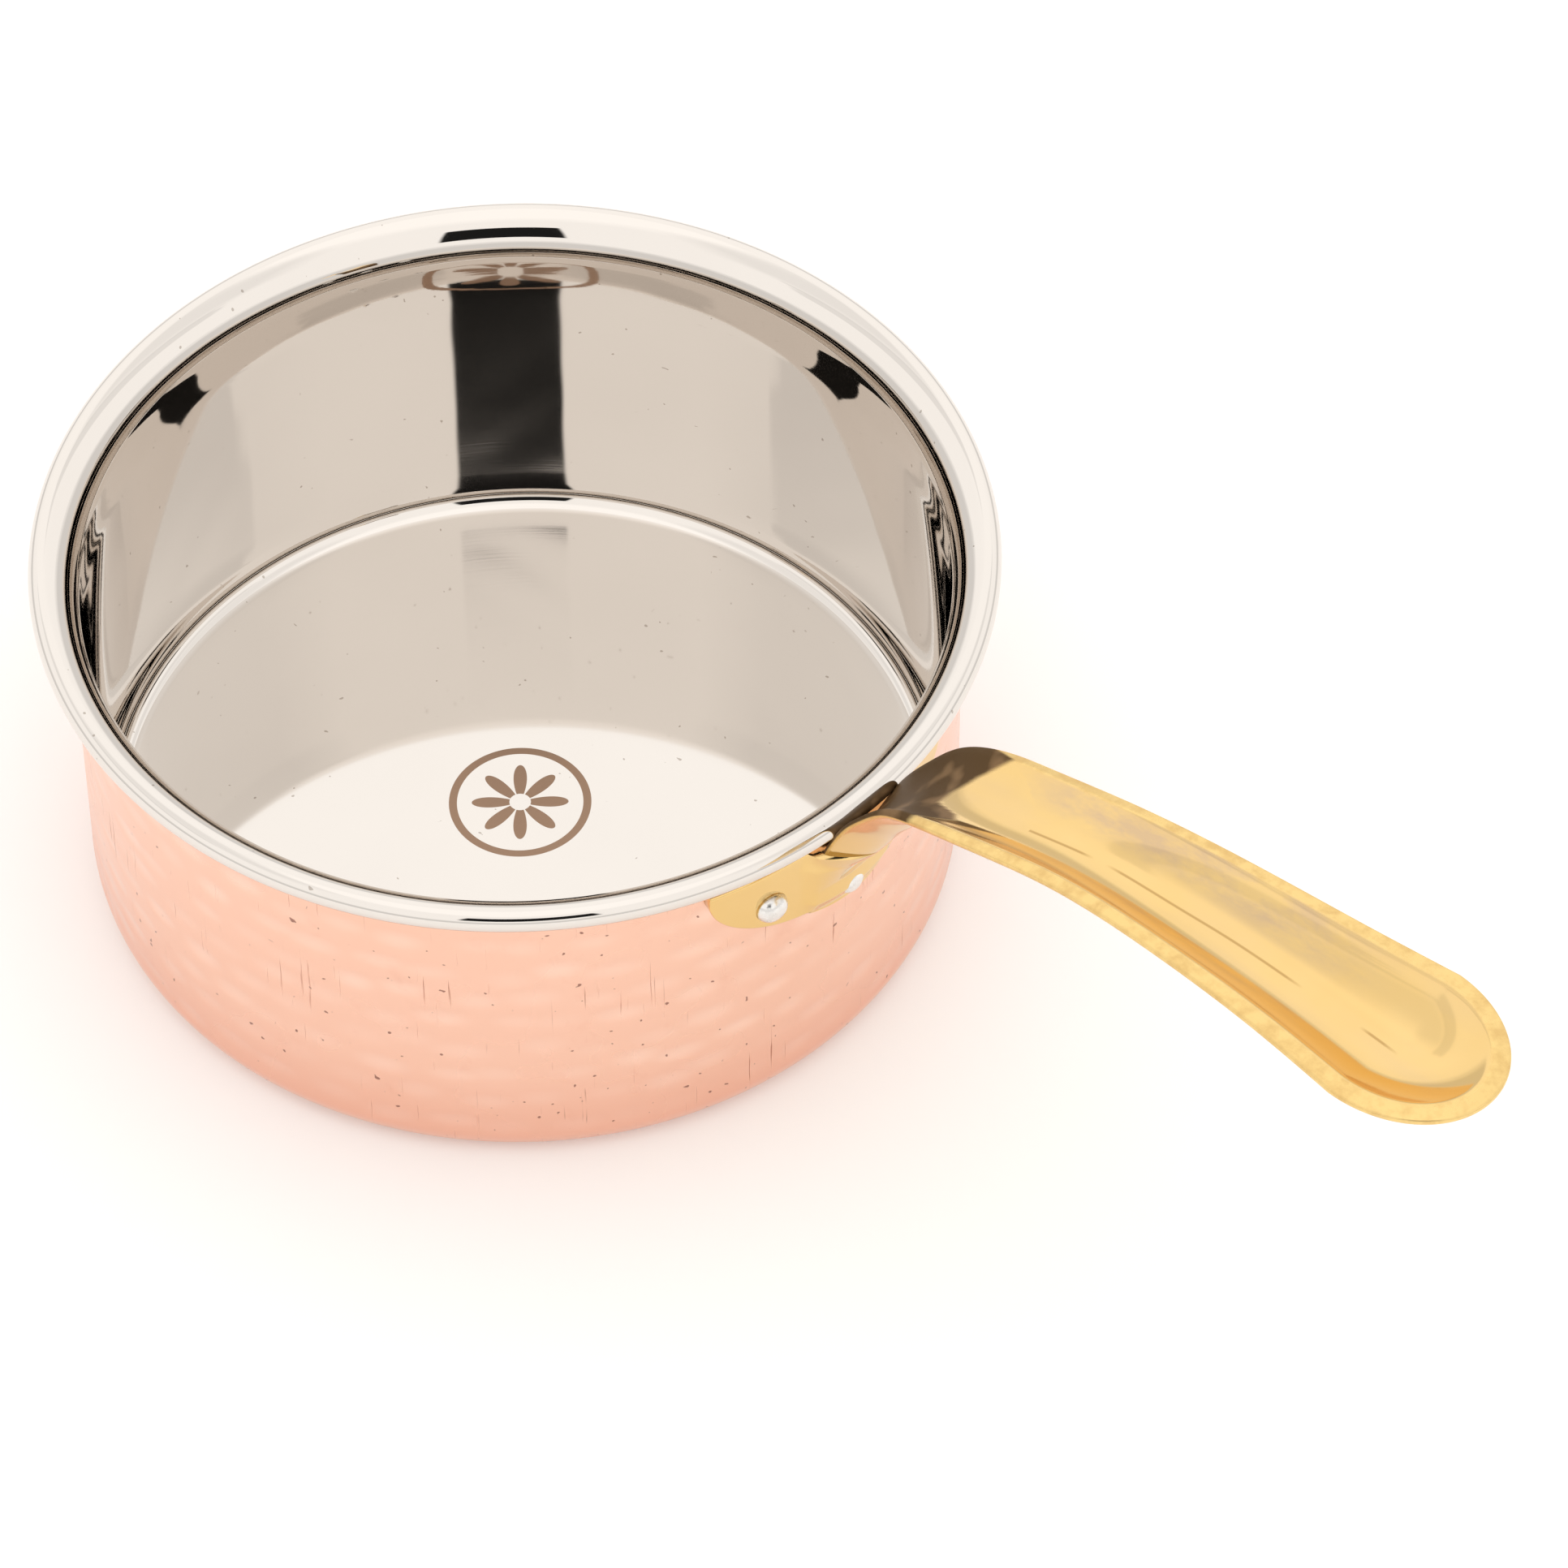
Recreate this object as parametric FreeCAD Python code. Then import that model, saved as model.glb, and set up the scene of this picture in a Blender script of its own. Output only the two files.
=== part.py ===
import FreeCAD, Part
import math
import os

# Small copper saucepan: a steel pan with a flared, rolled rim, a copper outer shell around it, and a cast brass
# spoon-shaped handle held on by three rivets. Origin at the centre of the underside, +Z up, handle along +X, in mm.

Vector = FreeCAD.Vector
AXIS = Vector(0, 0, 1)

# Pan, steel inside
BORE_RADIUS = 72.0        # inside of the straight wall
RIM_RADIUS = 80.0         # outermost point of the rolled rim
RIM_HEIGHT = 68.8         # top of the rim above the underside
FLARE_RADIUS = 8.4        # the wall's outward curve, on its upper face
BEAD_RADIUS = 2.15        # the rolled edge, outside
BEAD_END_ANGLE = -130.0   # where the rolled edge stops, tucked under, from the +X direction
CORNER_RADIUS = 4.2       # inside, between floor and wall
STEEL_THICKNESS = 0.8

# Copper shell
COPPER_THICKNESS = 0.95
COPPER_LIP_ANGLE = 28.0   # how far the copper follows the flare
SKIN_GAP = 0.05           # between pieces that touch

# Handle casting
FLANGE_THICKNESS = 2.0
FLANGE_HALF_LENGTH = 27.0
FLANGE_DROP = 14.7        # from its widest level down to its lowest point
FLANGE_WIDEST = 58.4      # height of that level
FLANGE_TOP = 60.0
LIP_WIDTH = 3.1           # plain border around the bowl
LIP_SLOPE = 8.0           # degrees, falling outwards
EDGE_THICKNESS = 1.0
LEAST_SWELL = 0.1         # the belly always bulges at least this much
BOWL_X = 188.0            # where the handle is widest
TIP_X = 207.0
TIP_STATIONS = 5
TIP_LAST_ANGLE = 84.0     # the tip's curve is closed by a small flat here

# Lip line of the handle: x, z, half width, trough depth, lip width, depth of the belly below the lip's edge
HANDLE_STATIONS = [
    (74.9, 50.5, 8.4, 0.3, 0.8, 1.8),
    (76.1, 57.5, 7.5, 0.6, 0.6, 5.0),
    (78.2, 63.5, 7.4, 1.2, 0.5, 6.2),
    (81.8, 70.8, 7.7, 2.0, 0.5, 6.6),
    (86.0, 77.0, 8.5, 2.7, 0.7, 6.6),
    (91.5, 83.6, 9.5, 3.2, 1.1, 6.3),
    (98.0, 87.7, 10.3, 3.5, 1.6, 6.0),
    (110.0, 92.1, 10.6, 3.6, 2.0, 5.9),
    (126.0, 97.1, 10.7, 3.7, 2.2, 5.9),
    (150.0, 101.4, 11.8, 4.0, 2.4, 6.2),
    (172.0, 103.3, 13.4, 4.7, 2.8, 7.0),
    (BOWL_X, 104.1, 15.2, 5.3, LIP_WIDTH, 7.5),
]
TROUGH_FIRST_STATION = 1
CUTTER_HEIGHT = 8.0

# Rivets: name, angle around the pan, height
RIVETS = [("rivet_left", -12.3, 51.6), ("rivet_centre", 0.0, 46.6), ("rivet_right", 12.3, 51.6)]
SHANK_RADIUS = 1.5
OUTER_HEAD_RADIUS, OUTER_HEAD_HEIGHT = 2.9, 2.3
INNER_HEAD_RADIUS, INNER_HEAD_HEIGHT = 3.2, 1.1

COPPER_RADIUS = BORE_RADIUS + STEEL_THICKNESS + SKIN_GAP + COPPER_THICKNESS
FLOOR_HEIGHT = COPPER_THICKNESS + SKIN_GAP + STEEL_THICKNESS
FLANGE_INNER_RADIUS = COPPER_RADIUS + SKIN_GAP
FLANGE_OUTER_RADIUS = FLANGE_INNER_RADIUS + FLANGE_THICKNESS

# The rim's two arcs: the flare turns the wall outwards, and the smaller bead carries on from it
FLARE_X = BORE_RADIUS + FLARE_RADIUS
BEAD_X = RIM_RADIUS - BEAD_RADIUS
FLARE_TURN = math.degrees(math.acos((FLARE_X - BEAD_X) / (FLARE_RADIUS - BEAD_RADIUS)))
BEAD_Z = RIM_HEIGHT - BEAD_RADIUS
FLARE_Z = BEAD_Z - (FLARE_RADIUS - BEAD_RADIUS) * math.sin(math.radians(FLARE_TURN))


def polar(x, z, radius, degrees):
    """Point in the XZ plane at an angle and distance from (x, z)."""
    angle = math.radians(degrees)
    return Vector(x + radius * math.cos(angle), 0, z + radius * math.sin(angle))


def arc(x, z, radius, start, end):
    middle = (start + end) / 2
    points = [polar(x, z, radius, degrees) for degrees in (start, middle, end)]
    return Part.Arc(*points).toShape()


def line(start, end):
    return Part.LineSegment(start, end).toShape()


def skin_edges(offset, flare_turn):
    """The pan's half section, offset outwards from its inside face, from the axis up into the flare."""
    corner_x, corner_z = BORE_RADIUS - CORNER_RADIUS, FLOOR_HEIGHT + CORNER_RADIUS
    floor_z = FLOOR_HEIGHT - offset
    wall_x = BORE_RADIUS + offset
    return [
        line(Vector(0, 0, floor_z), Vector(corner_x, 0, floor_z)),
        arc(corner_x, corner_z, CORNER_RADIUS + offset, -90, 0),
        line(Vector(wall_x, 0, corner_z), Vector(wall_x, 0, FLARE_Z)),
        arc(FLARE_X, FLARE_Z, FLARE_RADIUS - offset, 180, 180 - flare_turn),
    ]


def bead_edge(offset):
    return arc(BEAD_X, BEAD_Z, BEAD_RADIUS - offset, 180 - FLARE_TURN, BEAD_END_ANGLE)


def last_point(edge):
    return edge.Vertexes[-1].Point


def revolved(edges):
    wire = Part.Wire(Part.__sortEdges__(edges))
    return Part.Face(wire).revolve(Vector(0, 0, 0), AXIS, 360)


def skin_solid(inner, outer):
    """Revolve the space between two half sections."""
    start = line(inner[0].Vertexes[0].Point, outer[0].Vertexes[0].Point)
    end = line(last_point(inner[-1]), last_point(outer[-1]))
    return revolved(inner + outer + [start, end])


def steel_liner():
    inner = skin_edges(0, FLARE_TURN) + [bead_edge(0)]
    outer = skin_edges(STEEL_THICKNESS, FLARE_TURN) + [bead_edge(STEEL_THICKNESS)]
    return skin_solid(inner, outer)


def copper_shell():
    first = STEEL_THICKNESS + SKIN_GAP
    return skin_solid(
        skin_edges(first, COPPER_LIP_ANGLE), skin_edges(first + COPPER_THICKNESS, COPPER_LIP_ANGLE)
    )


def handle_rows():
    """The stations, continued around the rounded tip as a half ellipse."""
    rows = list(HANDLE_STATIONS)
    x, z, half_width, depth, lip, belly = rows[-1]
    for step in range(1, TIP_STATIONS + 1):
        angle = math.radians(TIP_LAST_ANGLE * step / TIP_STATIONS)
        shrink = math.cos(angle)
        reach = math.sin(angle)
        swell = EDGE_THICKNESS + (belly - EDGE_THICKNESS) * math.sqrt(shrink)
        rows.append((x + (TIP_X - x) * reach, z, half_width * shrink, depth * math.sqrt(shrink), lip, swell))
    return rows


def trough_rows():
    """The same, with the half width inside the lips and its own smaller half ellipse at the tip."""
    rows = []
    for x, z, half_width, depth, lip, belly in HANDLE_STATIONS[TROUGH_FIRST_STATION:]:
        rows.append((x, z, half_width - lip, depth, lip, belly))
    x, z, half_width, depth, lip, belly = rows[-1]
    for step in range(1, TIP_STATIONS + 1):
        angle = math.radians(TIP_LAST_ANGLE * step / TIP_STATIONS)
        shrink = math.cos(angle)
        end = x + (TIP_X - LIP_WIDTH - x) * math.sin(angle)
        rows.append((end, z, half_width * shrink, depth * math.sqrt(shrink), lip, belly))
    return rows


def section_frames(rows):
    """Origin and local up direction of each cross-section, square to the lip line."""
    points = [Vector(row[0], 0, row[1]) for row in rows]
    curve = Part.BSplineCurve()
    curve.interpolate(points)
    frames = []
    for point in points:
        along = curve.tangent(curve.parameter(point))[0]
        frames.append((point, Vector(-along.z, 0, along.x)))
    return frames


def place(frame, side, height):
    origin, up = frame
    return origin + Vector(0, side, 0) + up * height


def blank_section(frame, row):
    """Sloped lips above, square edges at the sides, a rounded belly below."""
    half_width, belly = row[2], row[5]
    ridge = half_width * math.tan(math.radians(LIP_SLOPE))
    left_foot = place(frame, -half_width, -EDGE_THICKNESS)
    left_lip = place(frame, -half_width, 0)
    top = place(frame, 0, ridge)
    right_lip = place(frame, half_width, 0)
    right_foot = place(frame, half_width, -EDGE_THICKNESS)
    keel = place(frame, 0, -max(belly, EDGE_THICKNESS + LEAST_SWELL))
    belly_edge = Part.Arc(right_foot, keel, left_foot).toShape()
    return Part.Wire([
        line(left_foot, left_lip),
        line(left_lip, top),
        line(top, right_lip),
        line(right_lip, right_foot),
        belly_edge,
    ])


def trough_section(frame, row):
    """Open channel: a round bottom, straight sides above the lips."""
    half_width, depth, lip = row[2], row[3], row[4]
    crest = lip * math.tan(math.radians(LIP_SLOPE))
    left, right = place(frame, -half_width, crest), place(frame, half_width, crest)
    bottom = place(frame, 0, crest - depth)
    left_top = place(frame, -half_width, CUTTER_HEIGHT)
    right_top = place(frame, half_width, CUTTER_HEIGHT)
    return Part.Wire([
        Part.Arc(left, bottom, right).toShape(),
        line(right, right_top),
        line(right_top, left_top),
        line(left_top, left),
    ])


def lofted(rows, section):
    wires = [section(frame, row) for frame, row in zip(section_frames(rows), rows)]
    return Part.makeLoft(wires, True, False)


def flange():
    """Curved plate against the shell: the lower half of an ellipse, cut off level under the rim."""
    centre = Vector(0, 0, FLANGE_WIDEST)
    ellipse = Part.Ellipse(
        centre + Vector(0, FLANGE_HALF_LENGTH, 0), centre - Vector(0, 0, FLANGE_DROP), centre
    ).toShape()
    outline = Part.Face(Part.Wire(ellipse)).extrude(Vector(FLANGE_OUTER_RADIUS, 0, 0))
    ring = Part.makeCylinder(FLANGE_OUTER_RADIUS, FLANGE_TOP).cut(
        Part.makeCylinder(FLANGE_INNER_RADIUS, FLANGE_TOP)
    )
    return ring.common(outline)


def handle():
    arm = lofted(handle_rows(), blank_section).cut(lofted(trough_rows(), trough_section))
    arm = arm.cut(Part.makeCylinder(FLANGE_INNER_RADIUS, FLANGE_TOP))
    return arm.fuse(flange()).removeSplitter()


def around_pan(shape, angle, height):
    """Put something modelled along +X through the wall at an angle and height."""
    shape.translate(Vector(0, 0, height))
    shape.rotate(Vector(0, 0, 0), AXIS, angle)
    return shape


def rivet_holes():
    depth = OUTER_HEAD_RADIUS + FLANGE_OUTER_RADIUS - BORE_RADIUS
    start = Vector(BORE_RADIUS - OUTER_HEAD_RADIUS / 2, 0, 0)
    radius = SHANK_RADIUS + SKIN_GAP
    holes = []
    for _, angle, height in RIVETS:
        hole = Part.makeCylinder(radius, depth, start, Vector(1, 0, 0))
        holes.append(around_pan(hole, angle, height))
    return holes


def dome(radius, height, base, outward):
    """A round head whose flat side is at base, built along +X or -X."""
    foot = Vector(base, radius, 0)
    crown = Vector(base + outward * height, 0, 0)
    sphere_radius = (radius ** 2 + height ** 2) / (2 * height)
    centre = crown.x - outward * sphere_radius
    half = math.asin(radius / sphere_radius) / 2
    shoulder = Vector(centre + outward * sphere_radius * math.cos(half), sphere_radius * math.sin(half), 0)
    middle = Vector(base, 0, 0)
    edges = [Part.Arc(foot, shoulder, crown).toShape(), line(crown, middle), line(middle, foot)]
    return Part.Face(Part.Wire(edges)).revolve(Vector(0, 0, 0), Vector(1, 0, 0), 360)


def rivet(angle, height):
    outer_base = FLANGE_OUTER_RADIUS + SKIN_GAP
    inner_base = math.sqrt(BORE_RADIUS ** 2 - INNER_HEAD_RADIUS ** 2) - SKIN_GAP
    shank = Part.makeCylinder(SHANK_RADIUS, outer_base - inner_base, Vector(inner_base, 0, 0), Vector(1, 0, 0))
    outer = dome(OUTER_HEAD_RADIUS, OUTER_HEAD_HEIGHT, outer_base, 1)
    inner = dome(INNER_HEAD_RADIUS, INNER_HEAD_HEIGHT, inner_base, -1)
    return around_pan(shank.fuse([outer, inner]).removeSplitter(), angle, height)


def export(name, shape):
    solids = shape.Solids
    result = solids[0] if len(solids) == 1 else Part.makeCompound(solids)
    print(name, "valid", result.isValid(), "solids", len(solids), "volume", round(result.Volume, 1))
    result.exportStep("parts/" + name + ".step")


def main():
    os.makedirs("parts", exist_ok=True)
    holes = rivet_holes()
    export("steel_liner", steel_liner().cut(holes))
    export("copper_shell", copper_shell().cut(holes))
    export("handle", handle().cut(holes))
    for name, angle, height in RIVETS:
        export(name, rivet(angle, height))


main()
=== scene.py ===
import math

import bmesh
import bpy
import numpy as np
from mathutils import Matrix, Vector
from mathutils.kdtree import KDTree


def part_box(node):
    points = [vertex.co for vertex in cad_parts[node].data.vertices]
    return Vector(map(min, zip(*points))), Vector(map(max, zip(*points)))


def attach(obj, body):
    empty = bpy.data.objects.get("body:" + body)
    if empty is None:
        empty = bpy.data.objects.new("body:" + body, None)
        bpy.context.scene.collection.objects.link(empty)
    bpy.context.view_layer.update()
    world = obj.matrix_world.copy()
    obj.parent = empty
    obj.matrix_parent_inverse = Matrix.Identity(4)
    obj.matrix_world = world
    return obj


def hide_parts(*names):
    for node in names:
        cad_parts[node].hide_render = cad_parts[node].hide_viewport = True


# Looks of the copper saucepan. Everything is in metres, with the pan's axis on Z, its underside at z = 0
# and the handle along +X.

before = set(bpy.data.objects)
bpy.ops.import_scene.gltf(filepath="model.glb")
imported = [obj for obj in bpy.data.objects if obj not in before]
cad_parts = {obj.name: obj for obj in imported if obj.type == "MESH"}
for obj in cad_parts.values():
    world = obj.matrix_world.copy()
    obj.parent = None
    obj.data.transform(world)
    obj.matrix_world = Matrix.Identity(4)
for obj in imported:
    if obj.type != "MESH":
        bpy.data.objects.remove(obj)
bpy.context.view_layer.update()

MM = 0.001
MICROMETRES_IN_MM = 1000
TINY = 1e-9
BODY = "root"

# Sizes read from the frame
_, LINER_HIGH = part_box("steel_liner")
_, HANDLE_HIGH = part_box("handle")
RIM_RADIUS = LINER_HIGH.y
RIM_TOP = LINER_HIGH.z
TIP_X = HANDLE_HIGH.x

# The pan's section
STEEL = 0.8 * MM
COPPER = 0.95 * MM
GAP = 0.05 * MM
BORE_RADIUS = 72.0 * MM
COPPER_RADIUS = BORE_RADIUS + STEEL + GAP + COPPER
CORNER_RADIUS = 4.2 * MM
FLARE_RADIUS = 8.4 * MM
BEAD_RADIUS = 2.15 * MM
WALL_LEAN_FROM = 53.5 * MM
WALL_LEAN_TO = 64.0 * MM
WALL_LEAN = 0.42 * MM
BEAD_END = -130.0
COPPER_LIP_TURN = 28.0
FLOOR_Z = COPPER + GAP + STEEL
FLARE_R = BORE_RADIUS + FLARE_RADIUS
BEAD_R = RIM_RADIUS - BEAD_RADIUS
FLARE_TURN = math.degrees(math.acos((FLARE_R - BEAD_R) / (FLARE_RADIUS - BEAD_RADIUS)))
BEAD_Z = RIM_TOP - BEAD_RADIUS
FLARE_Z = BEAD_Z - (FLARE_RADIUS - BEAD_RADIUS) * math.sin(math.radians(FLARE_TURN))

# Points along the pan's section and round it
FLOOR_POINTS = 24
WALL_POINTS = 48
LINER_ARC_POINTS = 24
BEAD_POINTS = 40
COPPER_ARC_POINTS = 16
HAMMERED_POINTS = 110
AROUND = 384
COPPER_AROUND = 640

# Slight waves in the steel wall: number round the pan, size in micrometres, twist with height, start
WAVES = [(5, 16, 45, 0.4), (9, 8, 155, 1.9), (17, 3.5, 285, 0.8), (31, 1.4, 415, 2.6)]
WAVES_FADE_LOW = 12 * MM
WAVES_FADE_HIGH = 14 * MM

# Hammer marks on the copper. Rows, height shift, width and height are in mm, the side shift is a share of the
# spacing, the strength is a share of the depth, and a pair is the least and the most.
HAMMER_SEED = 11
HAMMER_DEPTH = 0.22 * MM
HAMMER_ROWS = 8
HAMMER_PER_ROW = 46
HAMMER_FIRST_ROW = 9
HAMMER_ROW_PITCH = 6.4
HAMMER_SIDE_SHIFT = 0.22
HAMMER_HEIGHT_SHIFT = 1.3
HAMMER_WIDE = (4.4, 6.6)
HAMMER_HIGH = (1.9, 2.7)
HAMMER_STRENGTH = (0.25, 1.0)
HAMMERED_FROM = 6 * MM

# Handle stations in mm: x, z, half width, trough depth, lip width, belly below the lip's edge
HANDLE_STATIONS = [
    (74.9, 50.5, 8.4, 0.3, 0.8, 1.8),
    (76.1, 57.5, 7.5, 0.6, 0.6, 5.0),
    (78.2, 63.5, 7.4, 1.2, 0.5, 6.2),
    (81.8, 70.8, 7.7, 2.0, 0.5, 6.6),
    (86.0, 77.0, 8.5, 2.7, 0.7, 6.6),
    (91.5, 83.6, 9.5, 3.2, 1.1, 6.3),
    (98.0, 87.7, 10.3, 3.5, 1.6, 6.0),
    (110.0, 92.1, 10.6, 3.6, 2.0, 5.9),
    (126.0, 97.1, 10.7, 3.7, 2.2, 5.9),
    (150.0, 101.4, 11.8, 4.0, 2.4, 6.2),
    (172.0, 103.3, 13.4, 4.7, 2.8, 7.0),
    (188.0, 104.1, 15.2, 5.3, 3.1, 7.5),
]
LIP_SLOPE = math.tan(math.radians(8.0))
EDGE = 1.0 * MM
EDGE_ROUND = 0.4 * MM
CREST_ROUND = 0.5 * MM
TROUGH_POWER = 2.1
ARM_ROWS = 220
TIP_ROWS = 70
LEVELLING_ROWS = 24
HALF_COLUMNS = 40
COLUMN_CROWDING = 0.8
MIDDLE_SHARE = 1e-6
NECK_SIDE_SLOPE = 3

# Marks on the handle: its filed lips, and a painted dark reflection on the root of the trough. The painted
# reflection reaches out from the pan's axis to the ends in the lower list, at the side offsets in the upper
# list, both in mm.
LIP_MARGIN = 0.2 * MM
LIP_SOFT = 0.5 * MM
LIP_REACH = 0.6 * MM
ON_TOP = 0.02 * MM
PAINTED_REFLECTION_SOFT = 1.2 * MM
PAINTED_REFLECTION_SIDES = [-9.0, -5.0, -3.2, -1.5, 1.5, 5.0, 7.5, 9.0, 10.5]
PAINTED_REFLECTION_ENDS = [98.0, 103.0, 101.5, 96.3, 96.5, 98.5, 101.0, 102.7, 96.0]

# The handle's UV map holds the side offset above the first height, and below it a value far from the crease
CREASE_ABOVE = 0.09
NO_CREASE = 0.05

# Emblem on the pan's floor
EMBLEM_X = -1.6 * MM
EMBLEM_Y = 0.3 * MM
EMBLEM_RADIUS = 11.5 * MM

# Flange
FLANGE_BACK = COPPER_RADIUS + GAP
FLANGE_THICK = 2.0 * MM
FLANGE_HALF = 26.9 * MM
FLANGE_Z = 58.4 * MM
FLANGE_DROP = 14.7 * MM
FLANGE_TOP = 60.0 * MM
FLANGE_ROUND = 0.6 * MM
FLANGE_SHOULDER = 8
FLANGE_COLUMNS = 121
FLANGE_LEVELS = 61
NECK_OVERLAP = 0.04 * MM
NECK_FILLET = 5.0 * MM
FILLET_FADE_HIGH = 4 * MM
FILLET_FADE_LOW = 3 * MM
LEAST_FILLET = 0.02

# Rivets: node, angle around the pan, height
RIVETS = [
    ("rivet_left", -12.3, 51.6 * MM),
    ("rivet_centre", 0.0, 46.6 * MM),
    ("rivet_right", 12.3, 51.6 * MM),
]
SHANK = 1.5 * MM

# Radius and height of each head, and how the outer one was struck
OUTER_HEAD = (2.9 * MM, 2.3 * MM)
INNER_HEAD = (3.2 * MM, 1.1 * MM)
RIVET_AROUND = 40
OUTER_HEAD_POINTS = 16
INNER_HEAD_POINTS = 12
DENTS = 7
DENT_WITHIN = 0.72
DENT_DEPTH = 0.35
DENT_RISE = 0.8
CROWN_DROP = 0.22

# Camera and light
CAMERA_AT = (0.6129, -0.5734, 0.9922)
CAMERA_AZIMUTH = 43.89
CAMERA_ELEVATION = 49.58
CAMERA_LENS = 174.3
OPENING_AZIMUTH = 46.9
TENT_LIGHT = 1.2

# Parts of the tent, and how bright each is beside the rest. The first range is the turn away from the opening
# and the second the rise, in degrees: low, high, softness of the ends and raggedness.
TENT_PARTS = [
    ("zenith", None, (66, 120, 5), 1.1),
    ("back", (145, 200, 12), (26, 62, 6), 1.04),
    ("beside", (62, 138, 10), (48, 68, 3), 0.88),
    ("dull_band", (76, 150, 0.6, 30.0), (40, 47.6, 0.5), 0.84),
    ("low", None, (-2, 14, 3, 8.0), 0.7),
    ("opening", (-99, 14.5, 0.5), (25, 47.5, 0.1), 0.012),
]
FLOOR_REACH = 4.0
FLOOR_GLOW = 0.14


# ---------------------------------------------------------------- mesh helpers

def arc(r, z, radius, start, end, count):
    """Points of an arc in a section, as (r, z)."""
    turns = np.radians(np.linspace(start, end, count))
    return [(r + radius * math.cos(t), z + radius * math.sin(t)) for t in turns]


def new_piece(name, vertices, faces):
    mesh = bpy.data.meshes.new(name)
    mesh.from_pydata([tuple(v) for v in vertices], [], [tuple(f) for f in faces])
    piece = bpy.data.objects.new(name, mesh)
    bpy.context.scene.collection.objects.link(piece)
    return piece


def clean(piece, merge=1e-7):
    """Join points that coincide and turn every face outwards."""
    work = bmesh.new()
    work.from_mesh(piece.data)
    bmesh.ops.remove_doubles(work, verts=work.verts, dist=merge)
    bmesh.ops.dissolve_degenerate(work, edges=work.edges, dist=merge)
    bmesh.ops.recalc_face_normals(work, faces=work.faces)
    for face in work.faces:
        face.smooth = True
    work.to_mesh(piece.data)
    work.free()


def set_uv(piece, function):
    """A UV map called skin, from each corner's place. The second argument is the face's middle."""
    layer = piece.data.uv_layers.new(name="skin")
    for face in piece.data.polygons:
        middle = face.center
        for loop in face.loop_indices:
            place = piece.data.vertices[piece.data.loops[loop].vertex_index].co
            layer.data[loop].uv = function(place, middle)


def round_uv(place, middle):
    """Arc length round the pan and height, with the seam under the handle."""
    around = math.atan2(place.y, place.x) % math.tau
    middle_around = math.atan2(middle.y, middle.x) % math.tau
    if around - middle_around > math.pi:
        around -= math.tau
    if middle_around - around > math.pi:
        around += math.tau
    return around * COPPER_RADIUS, place.z


def lathe(name, section, count=AROUND, shift=None):
    """Turn a section round Z. It starts and ends on the axis. shift moves the points, given their angles."""
    section = np.array(section)
    turns = np.arange(count) * math.tau / count
    radii = np.repeat(section[None, :, 0], count, 0)
    if shift is not None:
        radii = radii + shift(turns, section)
    x = radii * np.cos(turns)[:, None]
    y = radii * np.sin(turns)[:, None]
    z = np.repeat(section[None, :, 1], count, 0)
    points = np.stack([x, y, z], 2)
    rows = len(section)
    vertices = points.reshape(-1, 3)
    faces = []
    for i in range(count):
        following = (i + 1) % count
        for j in range(rows - 1):
            faces.append((i * rows + j, following * rows + j, following * rows + j + 1, i * rows + j + 1))
    piece = new_piece(name, vertices, faces)
    clean(piece)
    return piece


def two_sided(name, top, bottom):
    """A closed piece from two grids of points with the same border."""
    rows, columns = top.shape[:2]
    vertices = np.concatenate([top.reshape(-1, 3), bottom.reshape(-1, 3)])
    half = rows * columns
    faces = []
    for i in range(rows - 1):
        for j in range(columns - 1):
            a, b = i * columns + j, (i + 1) * columns + j
            faces.append((a, b, b + 1, a + 1))
            faces.append((half + a + 1, half + b + 1, half + b, half + a))
    border = list(range(columns))
    border += [i * columns + columns - 1 for i in range(1, rows)]
    border += [(rows - 1) * columns + j for j in range(columns - 2, -1, -1)]
    border += [i * columns for i in range(rows - 2, -1, -1)]
    for a, b in zip(border, border[1:]):
        faces.append((a, b, half + b, half + a))
    piece = new_piece(name, vertices, faces)
    clean(piece)
    return piece


def cubic(knots, values, at):
    """Natural cubic spline through values at knots, read at the given places."""
    knots, values = np.asarray(knots, float), np.asarray(values, float)
    gaps = np.diff(knots)
    size = len(knots)
    matrix, right = np.eye(size), np.zeros(size)
    for i in range(1, size - 1):
        matrix[i, i - 1:i + 2] = gaps[i - 1], 2 * (gaps[i - 1] + gaps[i]), gaps[i]
        right[i] = 6 * ((values[i + 1] - values[i]) / gaps[i] - (values[i] - values[i - 1]) / gaps[i - 1])
    bend = np.linalg.solve(matrix, right)
    i = np.clip(np.searchsorted(knots, at) - 1, 0, size - 2)
    t = at - knots[i]
    slope = (values[i + 1] - values[i]) / gaps[i] - gaps[i] * (2 * bend[i] + bend[i + 1]) / 6
    return values[i] + slope * t + bend[i] * t ** 2 / 2 + (bend[i + 1] - bend[i]) * t ** 3 / (6 * gaps[i])


def smooth_least(a, b, k):
    """The smaller of a and b, with the corner between them rounded over k."""
    h = np.clip(0.5 + 0.5 * (b - a) / k, 0, 1)
    return b * (1 - h) + a * h - k * h * (1 - h)


def smooth_most(a, b, k):
    return -smooth_least(-a, -b, k)


# ---------------------------------------------------------------- the pan

def skin(offset, turn, count):
    """The pan's half section at an offset outwards from its inside face, from the axis into the flare."""
    corner_r = BORE_RADIUS - CORNER_RADIUS
    corner_z = FLOOR_Z + CORNER_RADIUS
    points = [(r, FLOOR_Z - offset) for r in np.linspace(0, corner_r, FLOOR_POINTS)]
    points += arc(corner_r, corner_z, CORNER_RADIUS + offset, -90, 0, count)[1:]
    points += [(BORE_RADIUS + offset, z) for z in np.linspace(corner_z, FLARE_Z, WALL_POINTS)[1:]]
    points += arc(FLARE_R, FLARE_Z, FLARE_RADIUS - offset, 180, 180 - turn, count)[1:]
    return points


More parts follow.
